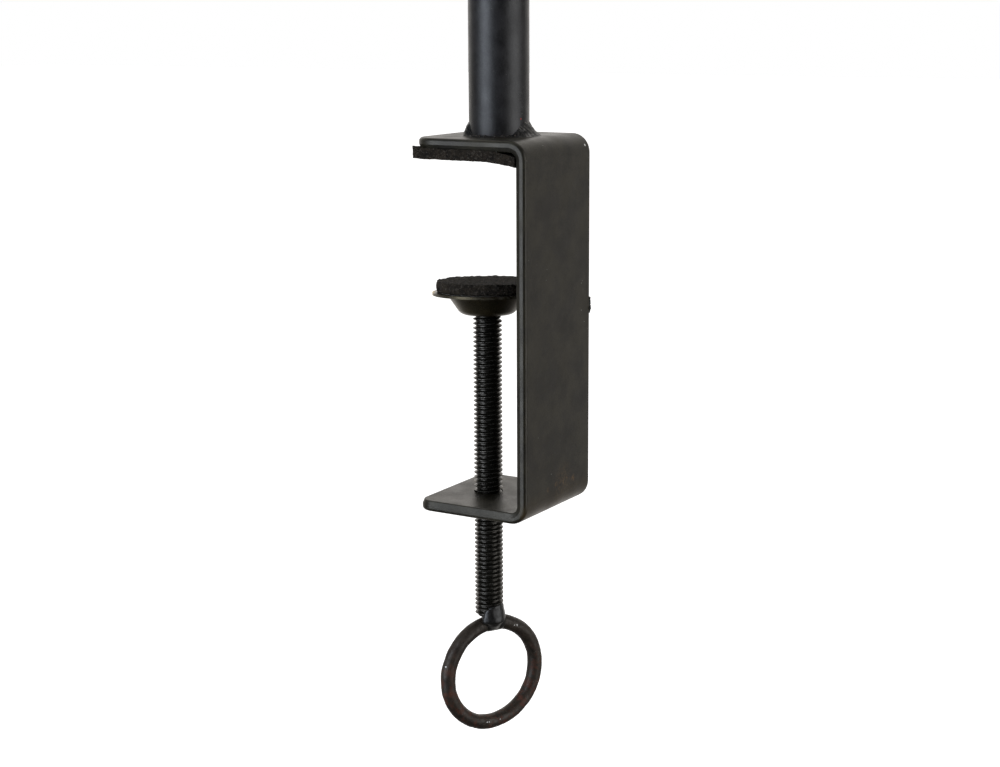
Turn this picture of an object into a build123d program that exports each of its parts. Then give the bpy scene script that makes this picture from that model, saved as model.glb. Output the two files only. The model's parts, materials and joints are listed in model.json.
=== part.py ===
"""Table clamp with a welded lamp post: a bent steel bracket, a screw spindle with a ring handle,
a tilting pressure cup, foam pads on both jaws and a lined socket for the lamp's arm.

Millimetres. +Z is up along the post. The origin is where the post's axis meets the clamping plane,
the underside of the upper foam pad. The web of the bracket is on the +X side, the mouth opens to -X.
"""

from build123d import *
from math import cos, radians, sin
import os

os.makedirs("parts", exist_ok=True)

# Bracket: one flat bar bent twice
bar_width = 35.0
bar_thickness = 3.0
bracket_height = 100.0
upper_jaw_length = 34.5
lower_jaw_length = 34.0
bend_radius = 5.0
upper_corner_radius = 6.0
lower_corner_radius = 4.0
edge_rounding = 1.0
shear_bevel_face = 1.3
shear_bevel_side = 0.52
shear_bevel_rounding = 0.35

# Post and the socket in its top
post_setback = 18.0
post_diameter = 16.0
post_wall = 1.0
post_length = 60.0
post_end_chamfer = 0.35
socket_bore = 12.1
bush_sleeve_length = 20.0
bush_flange_thickness = 1.5
bush_entry_chamfer = 0.6
bush_play = 0.02

# Weld tacks at the foot of the post; a hollow below 0 is a crown, start and sweep are in degrees
front_tack_run = 3.3
front_tack_rise = 3.8
front_tack_hollow = 0.5
front_tack_start = -29.0
front_tack_sweep = 69.0
rear_tack_run = 1.6
rear_tack_rise = 3.5
rear_tack_hollow = -0.45
rear_tack_start = 195.0
rear_tack_sweep = 47.0

# Foam pads and their double-sided tape
pad_thickness = 2.4
tape_thickness = 0.15
tape_inset = 2.0
pad_curl_radius = 43.0
pad_curl_angle = 14.0
pad_web_gap = 0.1
pad_corner_radius = 0.5
disc_step = 1.3
disc_thickness = 2.9
disc_tape_inset = 0.5

# Screw spindle: M8 rod with a 1.25 mm pitch, its crests a little under 8 mm as rolled rod is
spindle_setback = 22.0
thread_diameter = 7.85
thread_pitch = 1.25
thread_play = 0.05
shoulder_chamfer = 0.5
neck_diameter = 6.0
head_diameter = 8.8
head_height = 1.6
head_rounding = 0.9

# Pressure cup: pressed sheet, loose on the spindle's neck
cup_sheet = 0.7
cup_height_above_jaw = 49.0
cup_floor_radius = 7.1
cup_rim_radius = 14.8
cup_rim_width = 4.0
cup_depth = 6.1
cup_floor_bend = 3.0
cup_rim_bend = 0.8
cup_hole_play = 0.6
cup_axial_play = 0.45
cup_lean = 2.8
cup_lean_heading = 31.0
washer_radius = 5.2
washer_thickness = 0.8
washer_play = 0.05
washer_axial_play = 0.1

# Ring handle, welded under the spindle
ring_wire_diameter = 4.0
ring_inner_diameter = 25.0
ring_heading = 64.4
ring_shift = 0.75
ring_gap = 0.6
spindle_end_below_jaw = 32.4
weld_cover = 0.075
weld_half_height = 4.9
weld_shift = (1.05, -0.77)
weld_rise = 0.8

# Levels and positions that follow from the sizes above
jaw_underside = pad_thickness + tape_thickness
bracket_top = jaw_underside + bar_thickness
bracket_bottom = bracket_top - bracket_height
lower_jaw_top = bracket_bottom + bar_thickness
web_outer = post_setback
web_inner = web_outer - bar_thickness
upper_free_end = web_outer - upper_jaw_length
lower_free_end = web_outer - lower_jaw_length
spindle_x = web_outer - spindle_setback
thread_radius = thread_diameter / 2
weld_radius = thread_radius + weld_cover
cup_mouth_radius = cup_rim_radius - cup_rim_width
disc_radius = cup_rim_radius - disc_step
neck_radius = neck_diameter / 2
post_radius = post_diameter / 2
post_top = bracket_top + post_length

# Bracket: outer outline, thickened inwards, with rounded jaw corners, edges and the tapped hole.
# The bar is sheared from sheet: its edges are round outside and drawn in to a flat bevel inside.
with BuildPart() as clamp_bracket:
    with BuildSketch(Plane.XZ):
        with BuildLine():
            FilletPolyline(
                (lower_free_end, bracket_bottom),
                (web_outer, bracket_bottom),
                (web_outer, bracket_top),
                (upper_free_end, bracket_top),
                radius=bend_radius,
            )
            offset(amount=bar_thickness, side=Side.LEFT)
        make_face()
    extrude(amount=bar_width / 2, both=True)
    jaw_corners = clamp_bracket.edges().filter_by(Axis.Z).filter_by(
        lambda edge: edge.length < 1.01 * bar_thickness
    )
    fillet(jaw_corners.group_by(Axis.Z)[0], radius=lower_corner_radius)
    fillet(jaw_corners.group_by(Axis.Z)[-1], radius=upper_corner_radius)
    side_outline = clamp_bracket.faces().sort_by(Axis.Y)[0].edges().filter_by(
        lambda edge: edge.length > 1.01 * bar_thickness
    )
    mouth_edges = side_outline.filter_by_position(Axis.X, upper_free_end, web_inner).filter_by_position(
        Axis.Z, lower_jaw_top, jaw_underside
    )
    fillet([edge for edge in side_outline if edge not in mouth_edges], radius=edge_rounding)
    bar_side = clamp_bracket.faces().sort_by(Axis.Y)[0]
    mouth_edges = bar_side.edges().filter_by_position(Axis.X, upper_free_end, web_inner).filter_by_position(
        Axis.Z, lower_jaw_top, jaw_underside
    )
    chamfer(mouth_edges, length=shear_bevel_face, length2=shear_bevel_side, reference=bar_side)
    bevel_level = shear_bevel_side - bar_width / 2
    bevel_edges = clamp_bracket.edges().filter_by_position(Axis.Y, bevel_level, bevel_level)
    fillet(bevel_edges, radius=shear_bevel_rounding)
    with Locations((spindle_x, 0, lower_jaw_top)):
        Hole(radius=thread_radius + thread_play, depth=bar_thickness)
clamp_bracket.part.label = "clamp_bracket"
export_step(clamp_bracket.part, "parts/clamp_bracket.step")

# Post: round tube standing on the upper jaw
with BuildPart() as post_tube:
    with BuildSketch(Plane.XY.offset(bracket_top)):
        Circle(post_radius)
        Circle(post_radius - post_wall, mode=Mode.SUBTRACT)
    extrude(amount=post_length)
    tube_ends = (post_tube.faces().sort_by(Axis.Z)[0], post_tube.faces().sort_by(Axis.Z)[-1])
    chamfer([tube_end.edges().sort_by(SortBy.LENGTH)[-1] for tube_end in tube_ends], post_end_chamfer)
post_tube.part.label = "post_tube"
export_step(post_tube.part, "parts/post_tube.step")

# Weld tack on the web side of the post's foot
with BuildPart() as post_weld_front:
    with BuildSketch(Plane.XZ.rotated((0, 0, front_tack_start))):
        with BuildLine():
            foot = (post_radius + front_tack_run, bracket_top)
            crown = (post_radius, bracket_top + front_tack_rise)
            Polyline(crown, (post_radius, bracket_top), foot)
            SagittaArc(foot, crown, front_tack_hollow)
        make_face()
    revolve(axis=Axis.Z, revolution_arc=front_tack_sweep)
post_weld_front.part.label = "post_weld_front"
export_step(post_weld_front.part, "parts/post_weld_front.step")

# Weld tack on the mouth side of the post's foot
with BuildPart() as post_weld_rear:
    with BuildSketch(Plane.XZ.rotated((0, 0, rear_tack_start))):
        with BuildLine():
            foot = (post_radius + rear_tack_run, bracket_top)
            crown = (post_radius, bracket_top + rear_tack_rise)
            Polyline(crown, (post_radius, bracket_top), foot)
            SagittaArc(foot, crown, rear_tack_hollow)
        make_face()
    revolve(axis=Axis.Z, revolution_arc=rear_tack_sweep)
post_weld_rear.part.label = "post_weld_rear"
export_step(post_weld_rear.part, "parts/post_weld_rear.step")

# Bush: plastic liner with a flange on the tube's end and a bore for the arm's pin
with BuildPart() as socket_bush:
    with BuildSketch(Plane.XY.offset(post_top)):
        Circle(post_radius - post_wall - bush_play)
    extrude(amount=-bush_sleeve_length)
    with BuildSketch(Plane.XY.offset(post_top)):
        Circle(post_radius)
    extrude(amount=bush_flange_thickness)
    flange_rim = socket_bush.faces().sort_by(Axis.Z)[-1].edges()
    fillet(flange_rim, radius=bush_flange_thickness / 3)
    with BuildSketch(Plane.XY.offset(post_top + bush_flange_thickness)):
        Circle(socket_bore / 2)
    extrude(amount=-(bush_flange_thickness + bush_sleeve_length), mode=Mode.SUBTRACT)
    bore_mouth = socket_bush.faces().sort_by(Axis.Z)[-1].edges().sort_by(SortBy.LENGTH)[0]
    chamfer(bore_mouth, bush_entry_chamfer)
socket_bush.part.label = "socket_bush"
export_step(socket_bush.part, "parts/socket_bush.step")

# Upper foam pad: flat under the jaw, curling down where the bracket's bend pushes it off
pad_flat_end = web_inner - pad_web_gap - (pad_curl_radius + pad_thickness) * sin(radians(pad_curl_angle))
with BuildPart() as upper_foam_pad:
    with BuildSketch(Plane.XZ):
        with BuildLine():
            flat = Line((upper_free_end, 0), (pad_flat_end, 0))
            JernArc(flat @ 1, flat % 1, pad_curl_radius, -pad_curl_angle)
            offset(amount=pad_thickness, side=Side.LEFT)
        make_face()
    extrude(amount=bar_width / 2, both=True)
    fillet(upper_foam_pad.edges().filter_by(Axis.Z), radius=pad_corner_radius)
upper_foam_pad.part.label = "upper_foam_pad"
export_step(upper_foam_pad.part, "parts/upper_foam_pad.step")

# Tape between the upper jaw and its pad, only where the pad lies flat
tape_start = upper_free_end + tape_inset
with BuildPart() as upper_pad_tape:
    with BuildSketch(Plane.XY.offset(pad_thickness)):
        with Locations(((tape_start + pad_flat_end) / 2, 0)):
            Rectangle(pad_flat_end - tape_start, bar_width - 2 * tape_inset)
    extrude(amount=tape_thickness)
    fillet(upper_pad_tape.edges().filter_by(Axis.Z), radius=tape_inset)
upper_pad_tape.part.label = "upper_pad_tape"
export_step(upper_pad_tape.part, "parts/upper_pad_tape.step")

# The cup's own axis leans within its play; it pivots at the middle of its floor
cup_pivot = Vector(spindle_x, 0, lower_jaw_top + cup_height_above_jaw + cup_sheet / 2)
lean_axis = Vector(cos(radians(cup_lean_heading)), sin(radians(cup_lean_heading)), 0)
cup_direction = Vector(0, 0, 1).rotate(Axis((0, 0, 0), lean_axis), -cup_lean)
cup_plane = Plane(origin=cup_pivot, x_dir=lean_axis, z_dir=cup_direction)
cup_section = Plane(origin=cup_pivot, x_dir=lean_axis, z_dir=lean_axis.cross(cup_direction))
cup_axis = Axis(cup_pivot, cup_direction)
cup_rim_top = cup_depth - cup_sheet / 2

# Pressure cup: lower outline from the hole to the rim, thickened upwards and turned
with BuildPart() as pressure_cup:
    with BuildSketch(cup_section):
        with BuildLine():
            FilletPolyline(
                (neck_radius + cup_hole_play, -cup_sheet / 2),
                (cup_floor_radius, -cup_sheet / 2),
                (cup_mouth_radius, cup_rim_top - cup_sheet),
                (cup_rim_radius, cup_rim_top - cup_sheet),
                radius=(cup_floor_bend, cup_rim_bend),
            )
            offset(amount=cup_sheet, side=Side.LEFT)
        make_face()
    revolve(axis=cup_axis)
pressure_cup.part.label = "pressure_cup"
export_step(pressure_cup.part, "parts/pressure_cup.step")

# Tape ring on the flat of the cup's rim
with BuildPart() as lower_pad_tape:
    with BuildSketch(cup_plane.offset(cup_rim_top)):
        Circle(disc_radius - disc_tape_inset)
        Circle(cup_mouth_radius + cup_sheet, mode=Mode.SUBTRACT)
    extrude(amount=tape_thickness)
lower_pad_tape.part.label = "lower_pad_tape"
export_step(lower_pad_tape.part, "parts/lower_pad_tape.step")

# Lower foam pad: a disc on the cup's rim
with BuildPart() as lower_foam_pad:
    with BuildSketch(cup_plane.offset(cup_rim_top + tape_thickness)):
        Circle(disc_radius)
    extrude(amount=disc_thickness)
lower_foam_pad.part.label = "lower_foam_pad"
export_step(lower_foam_pad.part, "parts/lower_foam_pad.step")

# Levels of the spindle and the washer, from the cup's floor outwards
shoulder_level = cup_pivot.Z - cup_sheet / 2 - cup_axial_play
washer_underside = cup_pivot.Z + cup_sheet / 2 + cup_axial_play
head_underside = washer_underside + washer_thickness + washer_axial_play
spindle_end = bracket_bottom - spindle_end_below_jaw

# Washer between the cup's floor and the spindle's swaged head
with BuildPart() as thrust_washer:
    with BuildSketch(Plane.XY.offset(washer_underside)):
        with Locations((spindle_x, 0)):
            Circle(washer_radius)
            Circle(neck_radius + washer_play, mode=Mode.SUBTRACT)
    extrude(amount=washer_thickness)
thrust_washer.part.label = "thrust_washer"
export_step(thrust_washer.part, "parts/thrust_washer.step")

# Spindle: threaded shank as rings at the real pitch, a neck and a swaged head
thread_depth = 0.6134 * thread_pitch
crest_width = thread_pitch / 8
flank_width = (thread_pitch - crest_width - thread_pitch / 4) / 2
crest_count = int((shoulder_level - spindle_end) / thread_pitch) - 1
thread_start = spindle_end + shoulder_chamfer
half_profile = [
    (0, spindle_end),
    (thread_radius - thread_depth, spindle_end),
    (thread_radius - thread_depth, thread_start),
]
for turn in range(crest_count):
    valley = thread_start + turn * thread_pitch
    half_profile += [
        (thread_radius, valley + flank_width),
        (thread_radius, valley + flank_width + crest_width),
        (thread_radius - thread_depth, valley + 2 * flank_width + crest_width),
        (thread_radius - thread_depth, valley + thread_pitch),
    ]
half_profile += [
    (thread_radius, shoulder_level - shoulder_chamfer - flank_width / 2),
    (thread_radius, shoulder_level - shoulder_chamfer),
    (thread_radius - shoulder_chamfer, shoulder_level),
    (neck_radius, shoulder_level),
    (neck_radius, head_underside),
    (head_diameter / 2, head_underside),
    (head_diameter / 2, head_underside + head_height),
    (0, head_underside + head_height),
]
with BuildPart() as spindle:
    with BuildSketch(Plane.XZ.move(Location((spindle_x, 0, 0)))):
        with BuildLine():
            Polyline(*half_profile, close=True)
        make_face()
    revolve(axis=Axis((spindle_x, 0, 0), (0, 0, 1)))
    fillet(spindle.faces().sort_by(Axis.Z)[-1].edges(), radius=head_rounding)
spindle.part.label = "spindle"
export_step(spindle.part, "parts/spindle.step")

# Ring handle: wire bent to a circle, hanging below the spindle's end
wire_radius = ring_wire_diameter / 2
ring_radius = ring_inner_diameter / 2 + wire_radius
ring_across = Vector(cos(radians(ring_heading)), sin(radians(ring_heading)), 0)
ring_level = spindle_end - ring_gap - wire_radius - ring_radius
ring_centre = Vector(spindle_x, 0, ring_level) + ring_across * ring_shift
ring_normal = ring_across.cross(Vector(0, 0, 1))
wire_plane = Plane(origin=ring_centre + ring_across * ring_radius, x_dir=ring_across, z_dir=(0, 0, 1))
with BuildPart() as ring_handle:
    with BuildSketch(wire_plane):
        Circle(wire_radius)
    revolve(axis=Axis(ring_centre, ring_normal))
ring_handle.part.label = "ring_handle"
export_step(ring_handle.part, "parts/ring_handle.step")

# Weld that joins ring and spindle: a rounded lump that fills round both
weld_centre = Vector(spindle_x + weld_shift[0], weld_shift[1], spindle_end + weld_rise)
with BuildPart() as ring_weld:
    with BuildSketch(Plane(origin=weld_centre, x_dir=(1, 0, 0), z_dir=(0, -1, 0))):
        Ellipse(weld_radius, weld_half_height)
        with Locations((-weld_radius, 0)):
            Rectangle(2 * weld_radius, 2 * weld_half_height, mode=Mode.SUBTRACT)
    revolve(axis=Axis(weld_centre, (0, 0, 1)))
    add(spindle.part, mode=Mode.SUBTRACT)
    add(ring_handle.part, mode=Mode.SUBTRACT)
ring_weld.part.label = "ring_weld"
export_step(ring_weld.part, "parts/ring_weld.step")
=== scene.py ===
"""Desk lamp table clamp: its detailed pieces, its finishes and the studio round it."""

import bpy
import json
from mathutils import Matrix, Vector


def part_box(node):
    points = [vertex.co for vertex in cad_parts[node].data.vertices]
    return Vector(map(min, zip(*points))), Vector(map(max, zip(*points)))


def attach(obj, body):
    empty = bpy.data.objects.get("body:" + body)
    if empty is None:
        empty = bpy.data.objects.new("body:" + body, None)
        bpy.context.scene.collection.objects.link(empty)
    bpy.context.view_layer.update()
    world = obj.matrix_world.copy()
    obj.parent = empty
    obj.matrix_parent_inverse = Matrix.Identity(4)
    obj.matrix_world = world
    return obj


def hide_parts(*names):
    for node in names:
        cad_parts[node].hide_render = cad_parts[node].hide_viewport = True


bl_info = {
    "name": "Desk Lamp Table Clamp",
    "version": (1, 0, 0),
    "blender": (4, 5, 0),
    "location": "3D View > Sidebar > Lamp Clamp",
    "description": "Makes the pieces, finishes and studio of a desk lamp's table clamp",
    "category": "Object",
}

import json
import math

import bmesh
import bpy
from bpy.props import FloatProperty, FloatVectorProperty, IntProperty, PointerProperty
from mathutils import Matrix, Vector, noise

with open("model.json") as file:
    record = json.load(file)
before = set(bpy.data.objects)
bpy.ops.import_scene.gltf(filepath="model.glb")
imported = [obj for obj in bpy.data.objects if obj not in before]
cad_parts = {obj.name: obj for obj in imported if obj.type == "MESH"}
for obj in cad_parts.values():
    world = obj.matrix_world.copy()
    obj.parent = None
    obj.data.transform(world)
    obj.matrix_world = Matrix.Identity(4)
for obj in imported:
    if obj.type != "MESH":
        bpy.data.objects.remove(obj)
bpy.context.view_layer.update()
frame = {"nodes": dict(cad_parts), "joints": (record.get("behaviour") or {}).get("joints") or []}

MM = 0.001
NODES = frame["nodes"]
JOINTS = {joint["name"]: joint for joint in frame["joints"]}


def low(node):
    """Lowest corner of a CAD node."""
    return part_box(node)[0]


def high(node):
    """Highest corner of a CAD node."""
    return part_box(node)[1]


def middle(node):
    """Centre of a CAD node's box."""
    return (low(node) + high(node)) / 2


SPINDLE_AXIS = middle("spindle")
RING_CENTRE = middle("ring_handle")
CUP_AXIS = Vector(JOINTS["cup_tilt"]["axis"])
CUP_PIVOT = Vector(JOINTS["cup_tilt"]["pos_m"])
CUP_LEAN = math.radians(JOINTS["cup_tilt"]["range_deg"][1]) / 2
CUP_UP = Matrix.Rotation(-CUP_LEAN, 3, CUP_AXIS) @ Vector((0, 0, 1))

# Thread, neck and head of the spindle
THREAD_CREST = 3.925 * MM
SHOULDER = low("pressure_cup").z - 0.18 * MM
NECK_RADIUS = 3.0 * MM
HEAD_RADIUS = 4.4 * MM
HEAD_HEIGHT = 1.6 * MM
HEAD_ROUND = 0.9 * MM

# Ring handle: radius of its wire and of the circle it is bent to, and its heading
WIRE = 2.0 * MM
RING_BOX = high("ring_handle") - low("ring_handle")
RING_RADIUS = RING_BOX.z / 2 - WIRE
RING_HEADING = math.atan2(RING_BOX.y - 2 * WIRE, RING_BOX.x - 2 * WIRE)

# Foam disc on the cup: its size, and its underside above the cup's pivot
DISC_RADIUS = 13.5 * MM
DISC_THICKNESS = 2.9 * MM
DISC_LIFT = 5.90 * MM

# Camera: degrees, metres, and millimetres for the lens
CAMERA_HEADING = 31.018
CAMERA_ELEVATION = 11.517
CAMERA_ROLL = -0.296
CAMERA_DISTANCE = 490.153 * MM
CAMERA_TARGET = Vector((4.659, -8.021, -59.202)) * MM
CAMERA_LENS = 66.58
LIGHT_AIM = Vector((0.0, 0.0, -0.04))


# ---- settings


def length(name, description, default, highest, lowest=0.0):
    """A length setting, given in millimetres."""
    return FloatProperty(
        name=name, description=description, default=default * MM, min=lowest * MM, max=highest * MM,
        precision=5, unit="LENGTH",
    )


def colour_of(name, description, default):
    """A colour setting."""
    return FloatVectorProperty(
        name=name, description=description, default=default, size=3, min=0, max=1, subtype="COLOR",
    )


def power(name, description, default):
    """A setting for a light's power in watts."""
    return FloatProperty(name=name, description=description, default=default, min=0, max=100, unit="POWER")


class ClampSizes(bpy.types.PropertyGroup):
    """Sizes of the detailed pieces."""

    thread_pitch: length("Thread pitch", "Rise of the spindle's thread in one turn", 1.25, 3, 0.4)
    thread_segments: IntProperty(
        name="Thread segments", description="Faces round one turn of the thread", default=64, min=16, max=160,
    )
    thread_nicks: length("Thread nicks", "How far the dents cut into the thread's crests", 0.07, 0.3)
    foam_grain: length("Foam grain", "Depth of the open cells on the foam pads", 0.13, 0.5)
    foam_swell: length("Foam swell", "How far the upper pad swells up round the jaw's edges", 0.42, 0.6)
    corner_flare: length("Corner flare", "How far the upper pad's free corners stand up", 0.5, 1.5)
    ring_lumps: length("Ring lumps", "Unevenness of the ring's wire", 0.16, 0.5)


class ClampColours(bpy.types.PropertyGroup):
    """Colours of the finishes."""

    coat: colour_of("Black coat", "Satin black coat of the bracket and the cup", (0.0130, 0.0114, 0.0064))
    post: colour_of("Post coat", "Cooler black coat of the post", (0.0145, 0.0140, 0.0148))
    steel: colour_of("Black steel", "Blackened steel of the spindle", (0.0085, 0.0078, 0.0062))
    ring: colour_of("Ring paint", "Thin dark paint on the ring", (0.0245, 0.0180, 0.0130))
    rust: colour_of("Rust", "Rust that shows through the paint", (0.112, 0.030, 0.014))
    foam: colour_of("Foam", "Cellular foam rubber of the pads", (0.0200, 0.0150, 0.0098))
    floor: colour_of("Floor", "Pale studio floor", (0.92, 0.92, 0.92))


class StudioLights(bpy.types.PropertyGroup):
    """Power of the studio's lights and height of the clamp over the floor."""

    left_power: power("Left light", "Power of the large soft light on the left", 13.4)
    right_power: power("Right light", "Power of the large soft light on the right", 7.9)
    top_power: power("Top light", "Power of the soft light overhead", 3.6)
    floor_drop: length("Floor drop", "Distance from the ring down to the floor", 300, 2000, 50)


def sizes():
    """Sizes as the scene holds them."""
    return bpy.context.scene.clamp_sizes


def colours():
    """Colours as the scene holds them."""
    return bpy.context.scene.clamp_colours


def lights():
    """Light settings as the scene holds them."""
    return bpy.context.scene.clamp_lights


# ---- making pieces


def up(height):
    """A step straight up."""
    return Vector((0, 0, height))


def level_way(turn):
    """Level direction at an angle from +X."""
    return Vector((math.cos(turn), math.sin(turn), 0))


def place_object(name, data):
    """Puts a new object with its data into the scene."""
    made = bpy.data.objects.new(name, data)
    bpy.context.scene.collection.objects.link(made)
    return made


def mesh_from(shape, name):
    """Turns a bmesh into a mesh and frees it."""
    mesh = bpy.data.meshes.new(name)
    shape.to_mesh(mesh)
    shape.free()
    return mesh


def add_piece(name, shape, body, finish, stands_for=()):
    """Makes an object from a bmesh, gives it its finish and puts it on its body."""
    shape.normal_update()
    mesh = mesh_from(shape, name)
    piece = place_object(name, mesh)
    mesh.shade_smooth()
    mesh.materials.append(finish)
    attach(piece, body)
    if stands_for:
        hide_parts(*stands_for)
    return piece


def use_finish(finish, *nodes):
    """Gives CAD nodes a finish in place of the plain one they came with."""
    for node in nodes:
        mesh = NODES[node].data
        mesh.materials.clear()
        mesh.materials.append(finish)


def fix_seams(piece, angle):
    """Keeps edges sharper than the angle crisp while the rest stays smooth."""
    shape = bmesh.new()
    shape.from_mesh(piece.data)
    for edge in shape.edges:
        edge.smooth = len(edge.link_faces) != 2 or edge.calc_face_angle() < angle
    shape.to_mesh(piece.data)
    shape.free()


def grid_faces(shape, rows, closed_across=False, closed_along=False):
    """Joins rows of vertices, as lists of equal length, with quads; a row may be one point."""
    count = len(rows[0])
    last_row = len(rows) if closed_along else len(rows) - 1
    last_col = count if closed_across else count - 1
    for r in range(last_row):
        here, there = rows[r], rows[(r + 1) % len(rows)]
        for c in range(last_col):
            d = (c + 1) % count
            shape.faces.new(tuple(dict.fromkeys((here[c], here[d], there[d], there[c]))))


def face_outwards(shape):
    """Turns every face outwards."""
    bmesh.ops.recalc_face_normals(shape, faces=shape.faces)


def skin(shape, rows, **closed):
    """Makes the vertices of rows of points and joins them with quads."""
    made = [[shape.verts.new(spot) for spot in row] for row in rows]
    grid_faces(shape, made, **closed)
    return made


def ball(shape, spot, radius, fineness=3):
    """Adds a ball to a bmesh."""
    bmesh.ops.create_icosphere(shape, subdivisions=fineness, radius=radius, matrix=Matrix.Translation(spot))


def rough(point, size, octaves=3):
    """Soft noise of a given feature size, from about -1 to 1."""
    return noise.fractal(point / size, 1.0, 2.0, octaves, noise_basis="PERLIN_ORIGINAL")


def smoothstep(low_edge, high_edge, value):
    """0 below the low edge, 1 above the high edge, smooth between."""
    t = min(1.0, max(0.0, (value - low_edge) / (high_edge - low_edge)))
    return t * t * (3 - 2 * t)


# ---- finishes


class Finish:
    """A material and short ways to add nodes to it."""

    def __init__(self, name):
        self.material = bpy.data.materials.new(name)
        self.material.use_nodes = True
        self.tree = self.material.node_tree
        self.shader = self.tree.nodes["Principled BSDF"]
        self.place = self.add("ShaderNodeTexCoord").outputs["Object"]

    def add(self, kind, **settings):
        """Adds a node with its settings."""
        made = self.tree.nodes.new(kind)
        for key, value in settings.items():
            setattr(made, key, value)
        return made

    def link(self, value, socket):
        """Joins an output to a socket, or sets the socket to a plain value."""
        if isinstance(value, bpy.types.NodeSocket):
            self.tree.links.new(value, socket)
        else:
            socket.default_value = value

    def math(self, operation, a, b=0.0, clamp=False):
        """Result of a Math node."""
        made = self.add("ShaderNodeMath", operation=operation, use_clamp=clamp)
        self.link(a, made.inputs[0])
        self.link(b, made.inputs[1])
        return made.outputs[0]

    def times(self, a, b):
        """Product of two values."""
        return self.math("MULTIPLY", a, b)

    def most(self, a, b):
        """Larger of two values."""
        return self.math("MAXIMUM", a, b)

    def vector(self, operation, a, b=(0.0, 0.0, 0.0)):
        """Result of a Vector Math node: a number for lengths and dots, else a vector."""
        made = self.add("ShaderNodeVectorMath", operation=operation)
        self.link(a, made.inputs[0])
        self.link(b, made.inputs[1])
        number = operation in ("LENGTH", "DISTANCE", "DOT_PRODUCT")
        return made.outputs["Value" if number else "Vector"]

    def grain(self, size, detail=2.0, roughness=0.5, place=None, distortion=0.0):
        """Noise with features of a given size in millimetres."""
        made = self.add("ShaderNodeTexNoise")
        self.link(place or self.place, made.inputs["Vector"])
        made.inputs["Scale"].default_value = 1 / (size * MM)
        made.inputs["Detail"].default_value = detail
        made.inputs["Roughness"].default_value = roughness
        made.inputs["Distortion"].default_value = distortion
        return made.outputs["Fac"]

    def cells(self, size):
        """Distance to the nearest of scattered points, in cells of a given size in millimetres."""
        made = self.add("ShaderNodeTexVoronoi")
        self.link(self.place, made.inputs["Vector"])
        made.inputs["Scale"].default_value = 1 / (size * MM)
        return made.outputs["Distance"]

    def ramp(self, value, start, end, first=0.0, last=1.0):
        """Maps a value from one range to another, smoothly and clamped."""
        made = self.add("ShaderNodeMapRange", interpolation_type="SMOOTHSTEP")
        self.link(value, made.inputs["Value"])
        made.inputs["From Min"].default_value = start
        made.inputs["From Max"].default_value = end
        made.inputs["To Min"].default_value = first
        made.inputs["To Max"].default_value = last
        return made.outputs["Result"]

    def blend(self, share, first, second):
        """Mixes two colours."""
        made = self.add("ShaderNodeMix", data_type="RGBA")
        self.link(share, made.inputs["Factor"])
        for value, socket in ((first, made.inputs[6]), (second, made.inputs[7])):
            if isinstance(value, bpy.types.NodeSocket):
                self.link(value, socket)
            else:
                socket.default_value = (*value[:3], 1.0)
        return made.outputs[2]

    def lay(self, colour, share, strength, second):
        """Lays a second colour over the first where the share says, no stronger than the strength."""
        return self.blend(self.times(share, strength), colour, second)

    def near(self, point, radius, softness):
        """1 at a point, falling to 0 at a radius, both in millimetres."""
        distance = self.vector("DISTANCE", self.place, tuple(value * MM for value in point))
        radius *= MM
        return self.ramp(distance, radius * (1 - softness), radius, 1.0, 0.0)

    def part(self, axis):
        """One coordinate of the place, in metres."""
        made = self.add("ShaderNodeSeparateXYZ")
        self.link(self.place, made.inputs[0])
        return made.outputs[axis]

    def bump(self, height, distance, strength=1.0, under=None):
        """Normal for a height from 0 to 1 that stands up by a distance in millimetres."""
        made = self.add("ShaderNodeBump")
        made.inputs["Strength"].default_value = strength
        made.inputs["Distance"].default_value = distance * MM
        self.link(height, made.inputs["Height"])
        if under is not None:
            self.link(under, made.inputs["Normal"])
        return made.outputs["Normal"]

    def across_spindle(self):
        """Distance from the spindle's axis."""
        flat = self.vector("MULTIPLY", self.place, (1.0, 1.0, 0.0))
        return self.vector("DISTANCE", flat, (SPINDLE_AXIS.x, SPINDLE_AXIS.y, 0.0))

    def patches(self, noise_form, *ends):
        """Noise of a given size, detail and roughness, sharpened between two ends."""
        return self.ramp(self.grain(*noise_form), *ends)

    def gloss(self, size, detail, lowest, highest):
        """Roughness that drifts between two values."""
        return self.ramp(self.grain(size, detail), 0.35, 0.65, lowest, highest)

    def gloss_tint(self, colour):
        """Colour of the gloss seen straight on."""
        self.shader.inputs["Specular Tint"].default_value = (*colour, 1.0)

    def finish(self, colour, gloss, normal=None, metal=0.0):
        """Joins or sets the shader's colour, roughness, normal and metal, and gives the material."""
        if not isinstance(colour, bpy.types.NodeSocket):
            colour = (*tuple(colour)[:3], 1.0)
        self.link(colour, self.shader.inputs["Base Color"])
        self.link(metal, self.shader.inputs["Metallic"])
        self.link(gloss, self.shader.inputs["Roughness"])
        if normal is not None:
            self.link(normal, self.shader.inputs["Normal"])
        return self.material


def tint(colour, factor):
    """A colour made lighter or darker."""
    return tuple(min(1.0, channel * factor) for channel in tuple(colour)[:3])


def mottled(made, colour, spread, size=9):
    """A colour that drifts a little over large and small patches."""
    large = made.grain(size, 3.0, 0.6)
    small = made.grain(0.35, 2.0, 0.7)
    both = made.math("ADD", made.times(large, 0.6), made.times(small, 0.4))
    share = made.ramp(both, 0.40, 0.60)
    return made.blend(share, tint(colour, 1 - spread), tint(colour, 1 + spread))


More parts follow.
